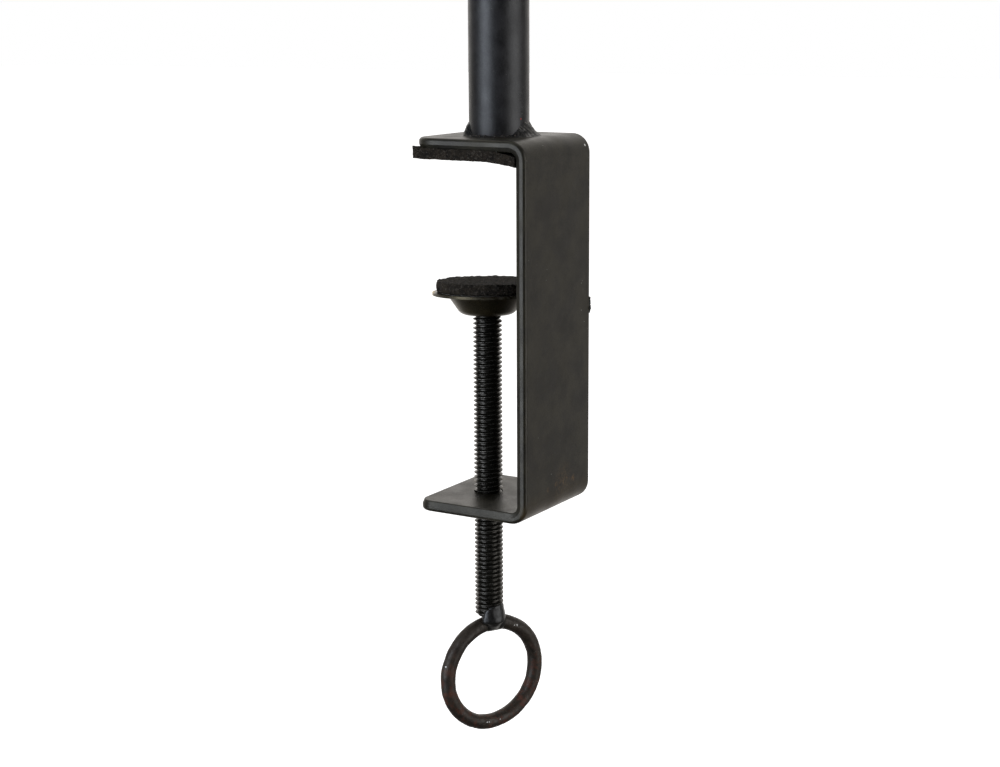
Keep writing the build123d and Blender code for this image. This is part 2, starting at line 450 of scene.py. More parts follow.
def coat_surface(made, rough_low, rough_high, grit=1.0):
    """Roughness and normal of a thin satin coat with fine orange peel and grit."""
    peel = made.grain(1.6, 2.0)
    fine = made.grain(0.22, 2.0, 0.65)
    drift = made.grain(6, 3.0)
    mixed = made.math("ADD", made.times(fine, 0.5), made.times(drift, 0.5))
    gloss = made.ramp(mixed, 0.35, 0.65, rough_low, rough_high)
    soft = made.bump(peel, 0.012, 1.0)
    normal = made.bump(fine, 0.016 * grit, 1.0, soft)
    return gloss, normal


def bracket_coat():
    """Satin coat of the bracket, with a rusty patch low on the web, specks of dust and a painted brownish
    sheen towards the lower bend.
    """
    made = Finish("bracket_coat")
    hue = colours()
    colour = mottled(made, hue.coat, 0.7)
    web_face, top = high("clamp_bracket").x / MM, high("clamp_bracket").z / MM
    bottom = low("clamp_bracket").z / MM
    # Painted brownish sheen towards the lower bend of the web, laid into the colour
    drop = made.ramp(made.part("Z"), (bottom + 1) * MM, (bottom + 9) * MM, 1.0, 0.0)
    outward = made.ramp(made.part("X"), (web_face - 2.6) * MM, (web_face - 0.8) * MM)
    painted_warm_sheen = made.times(made.times(drop, outward), made.grain(3, 3.0))
    colour = made.lay(colour, painted_warm_sheen, 0.8, (0.085, 0.057, 0.024))
    # Flecks of rust low on the web, and a faint brown bloom on the jaw round the post's foot
    flecks = made.patches((0.7, 4.0, 0.7), 0.44, 0.60)
    rust = made.times(made.near((web_face, 2.5, bottom + 8), 7, 1.0), 0.35)
    marks = ((2.4, 7.95, 1.5), (8.0, 7.5, 1.5), (-1.4, 7.95, 1.1), (-5.8, 7.3, 1.0), (4.6, 8.5, 0.9))
    for across, rise, radius in marks:
        rust = made.most(rust, made.near((web_face, across, bottom + rise), radius, 1.0))
    colour = made.blend(made.times(rust, flecks), colour, (0.140, 0.078, 0.030))
    bloom = made.patches((0.45, 4.0, 0.8), 0.46, 0.62)
    bloom = made.times(bloom, made.near((0, 0, top), 13, 0.5))
    colour = made.lay(colour, bloom, 0.5, (0.060, 0.034, 0.022))
    # Bare specks and dust
    dust = made.ramp(made.cells(2.6), 0.045, 0.06, 1.0, 0.0)
    dust_here = made.patches((14, 1.0), 0.54, 0.58)
    dust = made.times(dust, dust_here)
    chip = made.near((web_face - 0.5, 14.84, 2.6), 0.42, 0.4)
    bright = made.most(made.times(dust, 0.35), chip)
    colour = made.blend(bright, colour, (0.85, 0.85, 0.82))
    gloss, normal = coat_surface(made, 0.34, 0.50)
    made.gloss_tint((1.0, 0.95, 0.86))
    return made.finish(colour, gloss, normal)


def post_coat():
    """Satin coat of the post, with grit, scratches and one red speck."""
    made = Finish("post_coat")
    hue = colours()
    colour = mottled(made, hue.post, 0.5, 5)
    speck = made.near((7.77, -1.92, 10.07), 0.33, 0.5)
    colour = made.blend(speck, colour, (0.35, 0.02, 0.01))
    # Scratched patches low on the web's side, and grit in the coat
    scratch = made.ramp(made.grain(0.55, 4.0, 0.75, distortion=1.5), 0.58, 0.66)
    patch = made.most(made.near((7.9, -1.0, 16.4), 3.0, 0.6), made.near((7.97, -0.9, 12.4), 1.8, 0.6))
    dust = made.ramp(made.cells(1.3), 0.05, 0.08, 1.0, 0.0)
    dust = made.times(dust, made.patches((7, 2.0), 0.48, 0.60, 0.0, 0.35))
    light = made.most(made.times(made.times(scratch, patch), 0.45), dust)
    colour = made.blend(light, colour, (0.30, 0.30, 0.29))
    gloss, normal = coat_surface(made, 0.31, 0.45, 2.2)
    scar = made.bump(made.times(scratch, patch), 0.06, 1.0, normal)
    return made.finish(colour, gloss, scar)


def cup_coat():
    """Coat of the pressed cup: olive brown patches that also paint its sheen, and a pale worn rim edge and a
    spot of metal at the rim's left that also paint the rim's highlights.
    """
    made = Finish("cup_coat")
    hue = colours()
    colour = mottled(made, tint(hue.coat, 0.95), 0.4, 5)
    offset = made.vector("SUBTRACT", made.place, tuple(CUP_PIVOT))
    reach = made.vector("LENGTH", made.vector("CROSS_PRODUCT", offset, tuple(CUP_UP)))
    # The pressed edge is worn pale all round, and metal shows where it has been struck; the pale edge also
    # paints the light line along the rim, and the metal spot a bright reflection at the rim's left tip
    knock_and_reflection_spot = made.near((-16.6, -7.6, -36.6), 5.0, 0.9)
    worn = made.patches((1.2, 4.0, 0.7), 0.40, 0.60)
    worn_edge_and_highlight = made.times(made.ramp(reach, 14.60 * MM, 14.82 * MM), worn)
    bare_metal_and_reflection = made.times(made.ramp(reach, 14.0 * MM, 14.5 * MM), knock_and_reflection_spot)
    # Olive brown patches: partly the coat's own tone, partly a painted stand-in for the olive sheen of the
    # cup's hollow
    bowl = made.patches((4, 3.0), 0.42, 0.62, 0.2, 0.7)
    colour = made.blend(bowl, colour, (0.026, 0.019, 0.009))
    pale_marks = made.patches((0.7, 4.0, 0.75), 0.62, 0.68)
    lip = made.ramp(reach, 11.6 * MM, 12.4 * MM)
    colour = made.blend(made.times(made.times(pale_marks, lip), 0.6), colour, (0.30, 0.24, 0.15))
    colour = made.lay(colour, worn_edge_and_highlight, 0.6, (0.085, 0.078, 0.062))
    colour = made.blend(bare_metal_and_reflection, colour, (0.40, 0.38, 0.34))
    gloss, normal = coat_surface(made, 0.26, 0.40, 1.4)
    made.gloss_tint((1.0, 0.85, 0.56))
    metal = made.times(bare_metal_and_reflection, 0.8)
    return made.finish(colour, gloss, normal, metal)


def thread_steel():
    """Blackened, lightly oiled steel, worn bright on the thread's crests, which also paints the crest
    highlight, with the roots darkened as painted shade.
    """
    made = Finish("thread_steel")
    hue = colours()
    reach = made.across_spindle()
    # Crests lighter and partly metal: worn steel and a painted crest highlight
    crest = made.ramp(reach, 3.72 * MM, 3.90 * MM)
    crest_wear_and_highlight = made.times(crest, made.patches((0.9, 3.0, 0.7), 0.42, 0.62))
    colour = mottled(made, hue.steel, 0.4, 4)
    colour = made.lay(colour, crest_wear_and_highlight, 0.5, (0.20, 0.19, 0.17))
    # Roots darkened: painted shade in the thread's valleys
    painted_valley_shade = made.ramp(reach, 3.15 * MM, 3.55 * MM, 1.0, 0.0)
    colour = made.lay(colour, painted_valley_shade, 0.75, (0.004, 0.004, 0.003))
    gloss = made.gloss(0.6, 3.0, 0.24, 0.42)
    normal = made.bump(made.grain(0.15, 2.0), 0.012)
    metal = made.times(crest_wear_and_highlight, 0.7)
    made.gloss_tint((1.0, 0.94, 0.84))
    return made.finish(colour, gloss, normal, metal)


def ring_paint():
    """Thin dark paint with rust patches, white specks, painted glints low on the ring and scuffed spots."""
    made = Finish("ring_paint")
    hue = colours()
    colour = mottled(made, hue.ring, 0.45, 4)
    patches = made.patches((2.4, 4.0, 0.62), 0.47, 0.66)
    lower = made.ramp(made.part("Z"), RING_CENTRE.z + 13 * MM, RING_CENTRE.z - 4 * MM)
    rust = made.times(patches, lower)
    colour = made.lay(colour, rust, 0.65, hue.rust)
    scuff = made.patches((0.5, 3.0, 0.75), 0.62, 0.70)
    area = made.patches((5, 1.0), 0.50, 0.60)
    scuff = made.times(scuff, area)
    colour = made.lay(colour, scuff, 0.5, (0.22, 0.21, 0.19))
    specks = made.ramp(made.cells(2.4), 0.055, 0.075, 1.0, 0.0)
    specks = made.times(specks, made.patches((6, 1.0), 0.60, 0.62))
    # White specks, and the three spots low on the ring, which are painted glints
    pale_marks = (
        ((-9.71, -13.72, -139.2), 0.34), ((-9.5, -13.3, -140.3), 0.18), ((1.21, 6.29, -131.15), 0.30),
        ((0.9, 5.5, -131.0), 0.2), ((-3.25, -2.88, -157.69), 0.28), ((-2.9, -2.3, -157.75), 0.24),
        ((-1.39, 1.1, -157.8), 0.22),
    )
    for place, radius in pale_marks:
        specks = made.most(specks, made.near(place, radius, 0.4))
    colour = made.blend(specks, colour, (0.8, 0.8, 0.78))
    gloss = made.gloss(1.2, 3.0, 0.42, 0.62)
    dents = made.bump(made.grain(1.1, 3.0, 0.6), 0.06)
    normal = made.bump(made.grain(0.2, 2.0, 0.7), 0.018, 1.0, dents)
    made.gloss_tint((1.0, 0.93, 0.86))
    return made.finish(colour, gloss, normal)


def tack_coat():
    """Dark crusty coat over the post's tacks, with slanting strokes from the grinder and painted shade in
    their hollows.
    """
    made = Finish("tack_coat")
    colour = mottled(made, (0.010, 0.009, 0.007), 0.6, 1.2)
    across = made.vector("PROJECT", made.place, (0.75, 0.25, 0.85))
    strokes = made.patches((0.42, 2.0, 0.7, across), 0.46, 0.62)
    patchy = made.patches((1.2, 3.0), 0.40, 0.60)
    light = made.times(strokes, patchy)
    colour = made.lay(colour, light, 0.85, (0.17, 0.16, 0.145))
    # Painted shade: near-black colour in the hollow end of each bead
    painted_hollow_shade = made.most(made.near((7.55, -5.1, 6.8), 2.8, 0.6), made.near((-5.3, -6.4, 6.9), 1.8, 0.5))
    colour = made.lay(colour, painted_hollow_shade, 0.92, (0.0015, 0.0012, 0.001))
    gloss = made.gloss(0.8, 2.0, 0.34, 0.6)
    gloss = made.math("ADD", gloss, made.times(painted_hollow_shade, 0.4), clamp=True)
    ridges = made.bump(strokes, 0.06)
    normal = made.bump(made.grain(0.3, 3.0, 0.7), 0.03, 1.0, ridges)
    return made.finish(colour, gloss, normal)


def weld_crust():
    """Near-black crust at the post's foot, darker than the coat so that it also paints the shade in the
    groove, with a few bright bits that also paint small glints.
    """
    made = Finish("weld_crust")
    colour = mottled(made, (0.004, 0.003, 0.0025), 0.7, 0.8)
    # Bright bits: partly grit in the crust, partly painted glints
    crumbs_and_glints = made.patches((0.4, 3.0, 0.8), 0.57, 0.64)
    colour = made.lay(colour, crumbs_and_glints, 0.7, (0.22, 0.17, 0.13))
    normal = made.bump(made.grain(0.25, 3.0, 0.8), 0.12)
    return made.finish(colour, 0.75, normal)


def weld_paint():
    """Glossier paint that has run thick over the ring weld and the burr."""
    made = Finish("weld_paint")
    colour = mottled(made, (0.0110, 0.0100, 0.0092), 0.4, 2)
    gloss = made.gloss(1.0, 2.0, 0.30, 0.44)
    normal = made.bump(made.grain(0.7, 2.0), 0.02)
    return made.finish(colour, gloss, normal)


def foam_rubber():
    """Brown black foam rubber with open cells, painted darker inside as shade."""
    made = Finish("foam_rubber")
    hue = colours()
    pores = made.cells(0.42)
    small = made.cells(0.2)
    # Open cells painted darker: painted shade inside the pores
    painted_pore_shade = made.ramp(pores, 0.12, 0.5, 1.0, 0.0)
    drift = made.grain(2.2, 4.0, 0.7)
    colour = made.blend(made.ramp(drift, 0.35, 0.65), tint(hue.foam, 0.45), tint(hue.foam, 1.7))
    colour = made.lay(colour, painted_pore_shade, 0.8, tint(hue.foam, 0.15))
    flecks = made.patches((0.62, 3.0, 0.85), 0.54, 0.62)
    colour = made.lay(colour, flecks, 0.8, (0.080, 0.069, 0.056))
    coarse = made.bump(pores, 0.22, 1.0)
    normal = made.bump(small, 0.08, 1.0, coarse)
    made.shader.inputs["Specular IOR Level"].default_value = 0.25
    return made.finish(colour, 0.88, normal)


def tape_film():
    """Grey film of the double-sided tape."""
    made = Finish("tape_film")
    colour = mottled(made, (0.20, 0.19, 0.17), 0.3, 3)
    normal = made.bump(made.grain(0.3, 2.0), 0.01)
    return made.finish(colour, 0.55, normal)


def zinc_plate():
    """Pale zinc with fine turning marks."""
    made = Finish("zinc_plate")
    reach = made.across_spindle()
    rings = made.math("SINE", made.times(reach, 60 / MM))
    colour = made.blend(made.grain(1.5, 3.0), (0.42, 0.42, 0.43), (0.62, 0.61, 0.58))
    normal = made.bump(rings, 0.004)
    gloss = made.patches((2, 3.0), 0.3, 0.7, 0.22, 0.4)
    return made.finish(colour, gloss, normal, 1.0)


def nylon_bush():
    """Moulded black nylon with a fine matt grain."""
    made = Finish("nylon_bush")
    colour = mottled(made, (0.022, 0.022, 0.023), 0.2, 5)
    normal = made.bump(made.grain(0.18, 2.0), 0.015)
    gloss = made.gloss(1.5, 3.0, 0.44, 0.58)
    return made.finish(colour, gloss, normal)


def pale_floor():
    """Plain pale floor, bright enough to stay clean under the soft lights."""
    made = Finish("pale_floor")
    made.shader.inputs["Emission Strength"].default_value = 1.0
    made.shader.inputs["Emission Color"].default_value = (1.0, 1.0, 1.0, 1.0)
    return made.finish(colours().floor, 0.9)


# ---- pieces


def thread_radius_at(turns, pitch, root):
    """Radius of the thread's profile at a place in its pitch: flat crest, flat root, straight flanks."""
    crest_half = pitch / 16
    root_half = pitch / 8
    t = abs((turns % 1.0) - 0.5) * pitch
    if t < crest_half:
        return THREAD_CREST
    if t > pitch / 2 - root_half:
        return root
    return THREAD_CREST - (THREAD_CREST - root) * (t - crest_half) / (pitch / 2 - root_half - crest_half)


def close_thread(shape, bottom):
    """Sews the turns together, clears what was pressed flat and closes both ends."""
    bmesh.ops.remove_doubles(shape, verts=shape.verts, dist=0.002 * MM)
    slivers = [face for face in shape.faces if face.calc_area() < 1e-13]
    bmesh.ops.delete(shape, geom=slivers, context="FACES_ONLY")
    loose = [vert for vert in shape.verts if not vert.link_faces]
    bmesh.ops.delete(shape, geom=loose, context="VERTS")
    for level in (bottom, SHOULDER):
        rim = [
            edge for edge in shape.edges
            if edge.is_boundary and all(abs(vert.co.z - level) < 0.01 * MM for vert in edge.verts)
        ]
        bmesh.ops.holes_fill(shape, edges=rim, sides=0)


def add_neck_and_head(shape, centre, top):
    """Neck and swaged head, turned about the axis."""
    neck_foot = SHOULDER - 0.2 * MM
    head_low = top - HEAD_HEIGHT
    round_heart = HEAD_RADIUS - HEAD_ROUND
    profile = [
        (NECK_RADIUS * 0.6, neck_foot),
        (NECK_RADIUS, neck_foot),
        (NECK_RADIUS, head_low - 0.25 * MM),
        (NECK_RADIUS + 0.25 * MM, head_low),
        (HEAD_RADIUS - 0.15 * MM, head_low),
        (HEAD_RADIUS, head_low + 0.15 * MM),
    ]
    for k in range(7):
        turn = math.pi / 2 * k / 6
        reach = round_heart + HEAD_ROUND * math.cos(turn)
        profile.append((reach, top - HEAD_ROUND + HEAD_ROUND * math.sin(turn)))
    profile += [(1.2 * MM, top), (0.5 * MM, top - 0.18 * MM)]
    turns = [math.tau * k / 48 for k in range(48)]
    rows = []
    for radius, level in profile:
        rows.append([centre + Vector((radius * math.cos(t), radius * math.sin(t), level)) for t in turns])
    turned = skin(shape, rows, closed_across=True)
    shape.faces.new(list(reversed(turned[0])))
    shape.faces.new(turned[-1])


def make_spindle():
    """Spindle: helical thread with nicks, neck and head."""
    size = sizes()
    pitch, segments = size.thread_pitch, size.thread_segments
    bottom, top = low("spindle").z, high("spindle").z
    root = THREAD_CREST - 0.6134 * pitch
    chamfer = 0.5 * MM
    shape = bmesh.new()
    centre = Vector((SPINDLE_AXIS.x, SPINDLE_AXIS.y, 0))

    def thread_point(level, angle):
        """Point on the nicked thread, held between the spindle's end and its shoulder."""
        level = min(SHOULDER, max(bottom, level))
        radius = thread_radius_at(level / pitch - angle / math.tau, pitch, root)
        limit = THREAD_CREST - max(0.0, chamfer - (level - bottom), chamfer - (SHOULDER - level))
        way = level_way(angle)
        spot = centre + way * radius + up(level)
        nick = max(0.0, rough(spot, 0.9 * MM, 2) - 0.12) * size.thread_nicks * 3
        nick += 0.25 * size.thread_nicks * abs(rough(spot, 0.3 * MM, 2))
        if radius < THREAD_CREST - 0.35 * (THREAD_CREST - root):
            nick *= 0.2
        radius = max(root * 0.97, min(radius - nick, limit))
        return centre + way * radius + up(level)

    # Each row winds up by one pitch, so it ends where the row a pitch higher starts
    steps = (0.0, 0.125, 0.285, 0.4375, 0.5, 0.5625, 0.715, 0.875)
    rows = []
    for whole in range(math.floor(bottom / pitch) - 1, math.ceil(SHOULDER / pitch) + 2):
        for step in steps:
            row = []
            for k in range(segments + 1):
                level = (whole + step) * pitch + pitch * k / segments
                row.append(thread_point(level, math.tau * k / segments))
            rows.append(row)
    skin(shape, rows)
    close_thread(shape, bottom)
    add_neck_and_head(shape, centre, top)
    face_outwards(shape)
    piece = add_piece("screw_spindle", shape, "screw", thread_steel(), ["spindle"])
    fix_seams(piece, math.radians(50))


class CLAMP_OT_spindle(bpy.types.Operator):
    """Makes the screw spindle with a true helical thread, a neck and a swaged head"""

    bl_idname = "clamp.spindle"
    bl_label = "Spindle"

    def execute(self, context):
        make_spindle()
        return {"FINISHED"}


def make_ring():
    """Ring of slightly uneven wire."""
    lumps = sizes().ring_lumps
    across = level_way(RING_HEADING)
    side = Vector((-across.y, across.x, 0))
    shape = bmesh.new()
    rows = []
    around, through = 168, 36
    for k in range(around):
        turn = math.tau * k / around
        out = across * math.cos(turn) + up(math.sin(turn))
        heart = RING_CENTRE + out * RING_RADIUS
        drift = rough(out * 10, 6.0, 2) * lumps * 0.5
        row = []
        for j in range(through):
            angle = math.tau * j / through
            way = out * math.cos(angle) + side * math.sin(angle)
            spot = heart + way * WIRE
            dent = max(0.0, rough(spot, 3.2 * MM, 3) + 0.05) * lumps
            dent += max(0.0, rough(spot, 0.9 * MM, 3) - 0.1) * lumps * 0.5
            row.append(heart + way * (WIRE + 0.7 * lumps - dent) + out * drift)
        rows.append(row)
    skin(shape, rows, closed_across=True, closed_along=True)
    face_outwards(shape)
    add_piece("ring", shape, "screw", ring_paint(), ["ring_handle"])


class CLAMP_OT_ring(bpy.types.Operator):
    """Makes the ring handle from slightly uneven wire"""

    bl_idname = "clamp.ring"
    bl_label = "Ring Handle"

    def execute(self, context):
        make_ring()
        return {"FINISHED"}


def blob(shape, start, end, start_radius, end_radius, steps):
    """Adds a row of overlapping balls from one point to another."""
    for k in range(steps + 1):
        t = k / steps
        ball(shape, start.lerp(end, t), start_radius + (end_radius - start_radius) * t)


def melt(shape, name, voxel, rounds):
    """Fuses overlapping solids into one smooth skin and gives it back as a bmesh."""
    mesh = mesh_from(shape, name + "_raw")
    rough_piece = place_object(name + "_raw", mesh)
    remesh = rough_piece.modifiers.new("Fuse", "REMESH")
    remesh.mode = "VOXEL"
    remesh.voxel_size = voxel
    relax = rough_piece.modifiers.new("Relax", "SMOOTH")
    relax.factor = 0.5
    relax.iterations = rounds
    bpy.context.view_layer.update()
    evaluated = rough_piece.evaluated_get(bpy.context.evaluated_depsgraph_get())
    fused = bpy.data.meshes.new_from_object(evaluated)
    made = bmesh.new()
    made.from_mesh(fused)
    bpy.data.objects.remove(rough_piece)
    bpy.data.meshes.remove(fused)
    bpy.data.meshes.remove(mesh)
    return made


def make_ring_weld():
    """Weld between spindle and ring."""
    across = level_way(RING_HEADING)
    face = Vector((across.y, -across.x, 0))
    axis = Vector((SPINDLE_AXIS.x, SPINDLE_AXIS.y, low("spindle").z))

    def on_ring(turn):
        """Place on the wire's heart, a little towards the front, at an angle from its top."""
        out = across * math.sin(turn) + up(math.cos(turn))
        return RING_CENTRE + out * RING_RADIUS + face * 0.15 * MM

    # Metal that has run up over the thread, highest where it faces the web
    shape = bmesh.new()
    bead, spread, climb, sink = 1.0 * MM, 78.0, 2.9 * MM, 1.2 * MM
    for k in range(-20, 21):
        turn = k / 20
        way = level_way(math.radians(1 + spread * turn))
        crown = climb * math.sqrt(max(0.0, 1 - turn * turn)) - 0.1 * MM
        for j in range(11):
            rise = -sink + (crown + sink) * j / 10
            cover = (0.22 + 0.60 * smoothstep(crown, -sink, rise)) * (1 - 0.5 * abs(turn)) * MM
            ball(shape, axis + way * (THREAD_CREST - bead + cover) + up(rise), bead, 2)
    # The body of the weld, down from the spindle's end on to the ring
    start = axis + Vector((1.0, -0.2, 0.2)) * MM
    waist = axis + Vector((1.4, -0.55, -0.9)) * MM
    end = axis + Vector((1.0, 0.0, -2.3)) * MM
    blob(shape, start, waist, 3.0 * MM, 2.9 * MM, 3)
    blob(shape, waist, end, 2.9 * MM, 2.25 * MM, 4)
    blob(shape, on_ring(-0.11), on_ring(0.13), 2.3 * MM, 2.4 * MM, 6)
    made = melt(shape, "ring_weld", 0.2 * MM, 22)
    for vert in made.verts:
        vert.co += vert.normal * rough(vert.co, 1.8 * MM, 2) * 0.07 * MM
    add_piece("weld_at_ring", made, "screw", weld_paint(), ["ring_weld"])


class CLAMP_OT_ring_weld(bpy.types.Operator):
    """Makes the weld that runs from the spindle's end down on to the ring"""

    bl_idname = "clamp.ring_weld"
    bl_label = "Ring Weld"

    def execute(self, context):
        make_ring_weld()
        return {"FINISHED"}


def make_tack(side, finish, foot, post, headings, face, pit_form):
    """One bead from the jaw up the post, with a pit in it; lengths in millimetres, angles in degrees."""
    start, sweep = headings
    reach, rise, bow = (length * MM for length in face)
    pit_at, pit_width, pit_depth = pit_form[0], pit_form[1], pit_form[2] * MM
    inside = post - 0.3 * MM
    shape = bmesh.new()
    rows = []
    across, tall = 72, 20
    for k in range(across + 1):
        share = k / across
        way = level_way(math.radians(start + sweep * share))
        # The bead starts and stops rounded and thins towards its ends
        swell = math.sqrt(max(0.0, 1 - abs(2 * share - 1) ** 4))
        hollow = math.exp(-((share - pit_at) / pit_width) ** 2)
        # It climbs from nothing at the end with the pit
        climb = min(1.0, 0.12 + 2.1 * (share if pit_at < 0.5 else 1 - share))
        crown = rise * (0.45 + 0.55 * swell) * climb
        outline = [(inside, foot)]
        for j in range(tall + 1):
            t = j / tall
            inward = bow * 4 * t * (1 - t) * swell
            pit = pit_depth * hollow * math.exp(-((t - 0.38) / 0.26) ** 2)
            out = max(-0.2 * MM, reach * swell * (1 - t) - inward * 0.75 - pit)
            outline.append((post + out, foot + max(0.0, crown * t - inward * 0.65)))
        outline.append((inside, foot + crown))
        rows.append([way * radius + up(level) for radius, level in outline])
    made = skin(shape, rows, closed_across=True)
    shape.faces.new(made[0])
    shape.faces.new(list(reversed(made[-1])))
    face_outwards(shape)
    for vert in shape.verts:
        if vert.co.z > foot + 0.2 * MM:
            grit = rough(vert.co, 0.9 * MM, 3) * 0.13 * MM
            vert.co += Vector((vert.co.x, vert.co.y, 0)).normalized() * grit
    name, node = "tack_" + side, "post_weld_" + side
    piece = add_piece(name, shape, "frame", finish, [node])
    fix_seams(piece, math.radians(60))


def make_crust(foot, post):
    """Ragged crust that fills the groove between the post's foot and the jaw."""
    shape = bmesh.new()
    rows = []
    around, through = 300, 10
    for k in range(around):
        way = level_way(math.tau * k / around)
        thick = max(0.10, 0.40 + 0.34 * rough(way * 8, 0.9, 3)) * MM
        row = []
        for j in range(through):
            turn = math.tau * j / through
            spot = way * (post + 0.04 * MM + thick * math.cos(turn))
            spot += up(foot + 0.08 * MM + thick * math.sin(turn))
            spot += way * rough(spot, 0.5 * MM, 2) * 0.08 * MM
            row.append(spot)
        rows.append(row)
    skin(shape, rows, closed_across=True, closed_along=True)
    face_outwards(shape)
    add_piece("foot_crust", shape, "frame", weld_crust())


def make_post_welds():
    """Both tacks and the crust round the foot."""
    foot = high("clamp_bracket").z
    post = high("post_tube").x
    finish = tack_coat()
    # Heading and sweep, then reach, rise and bow of the face, then the pit's place, width and depth
    make_tack("front", finish, foot, post, (-37.0, 77.0), (3.3, 3.8, 0.35), (0.22, 0.16, 1.3))
    make_tack("rear", finish, foot, post, (195.0, 47.0), (1.6, 3.5, -0.15), (0.80, 0.20, 1.5))
    make_crust(foot, post)


class CLAMP_OT_post_welds(bpy.types.Operator):
    """Makes the two weld tacks at the post's foot and the crust round it"""

    bl_idname = "clamp.post_welds"
    bl_label = "Post Welds"

    def execute(self, context):
        make_post_welds()
        return {"FINISHED"}


def make_burr():
    """Burr of thick coat."""
    edge = high("clamp_bracket")
    shape = bmesh.new()
    for k in range(9):
        level = -38.7 - 0.48 * k
        lump = 0.34 + 0.20 * abs(rough(Vector((0, 0, level)), 0.7, 2)) + (0.12 if k in (2, 5, 6) else 0.0)
        ball(shape, Vector((edge.x - 0.28 * MM, edge.y - 0.22 * MM, level * MM)), lump * MM)
    made = melt(shape, "burr", 0.12 * MM, 2)
    for vert in made.verts:
        vert.co += vert.normal * rough(vert.co, 0.5 * MM, 3) * 0.14 * MM
    add_piece("coat_burr", made, "frame", weld_paint())


class CLAMP_OT_burr(bpy.types.Operator):
    """Makes the small rough burr of coat on the bracket's far edge"""

    bl_idname = "clamp.burr"
    bl_label = "Coat Burr"

    def execute(self, context):
        make_burr()
        return {"FINISHED"}


def make_upper_pad():
    """Foam strip with open cells."""
    size = sizes()
    box_low, box_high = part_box("upper_foam_pad")
    tape_end = high("upper_pad_tape").x
    thick = box_high.z
    width = box_high.y
    length = box_high.x - box_low.x
    drop_end = -box_low.z
    curl = box_high.x - tape_end
    count_x, count_y, count_z = 116, 128, 12
    corner = 6.0 * MM
    cut_round = 1.5 * MM

    def sag(x):
        """How far the curled end hangs down at a place along the pad."""
        t = max(0.0, (x - tape_end) / curl)
        return drop_end * t * t

    def place(u, v, w):
        """Point of the pad: u along, v across and w from underside to top, each from 0 to 1."""
        x = box_low.x + length * u
        y = -width + 2 * width * v
        z = thick * w
        # The free corners are cut round, and the outline wanders where it was cut by hand
        reach_x = max(0.0, cut_round - (x - box_low.x))
        reach_y = max(0.0, abs(y) - (width - cut_round))
        square = max(reach_x, reach_y)
        if reach_x > 0 and reach_y > 0:
            scale = square / math.hypot(reach_x, reach_y)
            x = box_low.x + cut_round - reach_x * scale
            y = math.copysign(width - cut_round + reach_y * scale, y)
        # Swell at the long edges and at the free end, where nothing holds the pad down
        side = smoothstep(width - 0.8 * MM, width, abs(y))
        end = smoothstep(0.8 * MM, 0.0, x - box_low.x)
        lift = size.foam_swell * max(side, end) * w
        past = Vector((max(0.0, corner - (x - box_low.x)), max(0.0, abs(y) - (width - corner)), 0)).length
        flare = size.corner_flare * smoothstep(corner - 0.7 * MM, corner + 1.6 * MM, past)
        lift += flare * (0.35 + 0.65 * w)
        return Vector((x, y, z + lift - sag(x)))

    shape = bmesh.new()
    verts = {}

    def vertex(i, j, k):
        key = (i, j, k)
        if key not in verts:
            verts[key] = shape.verts.new(place(i / count_x, j / count_y, k / count_z))
        return verts[key]

    def sheet(a_count, b_count, pick):
        for a in range(a_count):
            for b in range(b_count):
                shape.faces.new((pick(a, b), pick(a + 1, b), pick(a + 1, b + 1), pick(a, b + 1)))

    sheet(count_x, count_y, lambda a, b: vertex(a, b, 0))
    sheet(count_x, count_y, lambda a, b: vertex(a, b, count_z))
    sheet(count_x, count_z, lambda a, b: vertex(a, 0, b))
    sheet(count_x, count_z, lambda a, b: vertex(a, count_y, b))
    sheet(count_y, count_z, lambda a, b: vertex(0, a, b))
    sheet(count_y, count_z, lambda a, b: vertex(count_x, a, b))
    face_outwards(shape)
    roughen_foam(shape, size.foam_grain, keep_above=thick - 0.05 * MM, inside=width - 0.9 * MM)
    piece = add_piece("upper_pad", shape, "frame", foam_rubber(), ["upper_foam_pad"])


class CLAMP_OT_upper_pad(bpy.types.Operator):
    """Makes the foam pad under the upper jaw, swollen round the jaw's edges and curled at the web"""

    bl_idname = "clamp.upper_pad"
    bl_label = "Upper Foam Pad"

    def execute(self, context):
        make_upper_pad()
        return {"FINISHED"}


def foam_pit(spot, grain):
    """How far an open cell reaches in at a place on the foam, as a step along the normal."""
    cell = noise.voronoi(spot / (0.62 * MM))[0][0]
    return -grain * smoothstep(0.45, 0.05, cell)


def roughen_foam(shape, grain, keep_above, inside):
    """Opens cells in a foam skin and makes its edges ragged; the glued side stays flat."""
    shape.normal_update()
    moves = []
    for vert in shape.verts:
        spot = vert.co
        glued = vert.normal.z > 0.9 and spot.z > keep_above and abs(spot.y) < inside
        if glued:
            moves.append(Vector())
            continue
        pit = foam_pit(spot, grain)
        wave = rough(spot, 1.7 * MM, 3) * grain * 0.9
        swell = rough(spot, 6.0 * MM, 2) * grain * 0.8
        moves.append(vert.normal * (pit + wave + swell))
    for vert, move in zip(shape.verts, moves):
        vert.co += move


